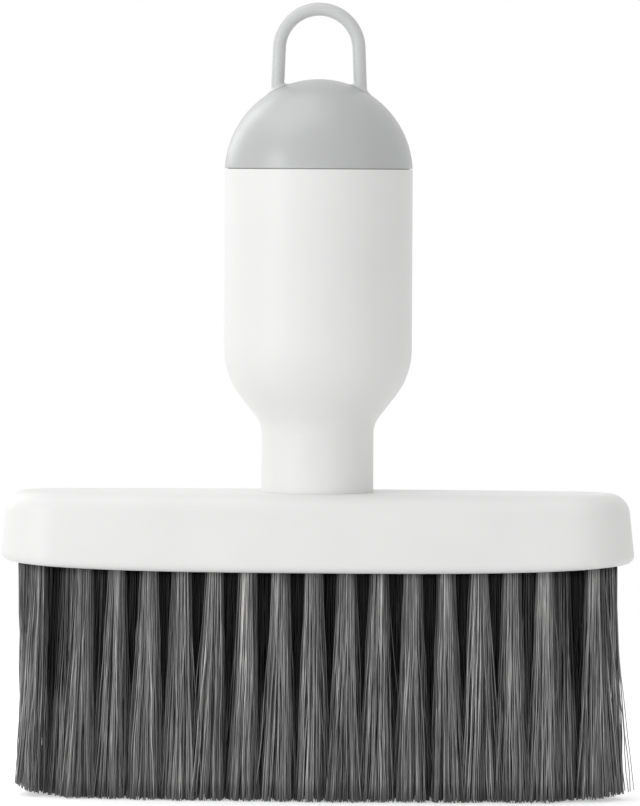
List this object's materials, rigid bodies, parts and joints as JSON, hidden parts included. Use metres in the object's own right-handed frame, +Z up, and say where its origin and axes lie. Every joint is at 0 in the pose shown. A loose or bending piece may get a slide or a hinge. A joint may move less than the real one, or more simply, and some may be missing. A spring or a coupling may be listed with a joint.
{
  "type": "keyboard cleaning brush",
  "caption": "Hand brush for keyboards: white oval head with charcoal tufted bristles, screw-on bottle-shaped handle, grey domed cap that turns, and a hanging loop.",
  "frame": {"origin": "middle of the plane of the bristle tips, below the handle's axis", "axes": "+Z up along the handle's axis, +X along the head's length, +Y towards its back"},
  "size_m": [0.108, 0.032, 0.1351],
  "materials": {
    "white_gloss": "moulded gloss",
    "grey_cap": "moulded satin",
    "charcoal_plate": "moulded matte",
    "bristle": "drawn filament, slight sheen"
  },
  "bodies": {
    "head": {"head_shell": "white_gloss", "tuft_plate": "charcoal_plate", "bristles_front": "bristle", "bristles_middle": "bristle", "bristles_rear": "bristle"},
    "handle": {"handle_body": "white_gloss"},
    "cap": {"dome_cap": "grey_cap", "hang_loop": "grey_cap"}
  },
  "joints": [
    {"name": "handle_lift", "type": "slide", "parent": "head", "child": "handle", "axis": [0, 0, 1], "range_m": [0, 0.014]},
    {"name": "cap_swivel", "type": "hinge", "parent": "handle", "child": "cap", "pos_m": [0, 0, 0.1069], "axis": [0, 0, 1], "continuous": true}
  ]
}
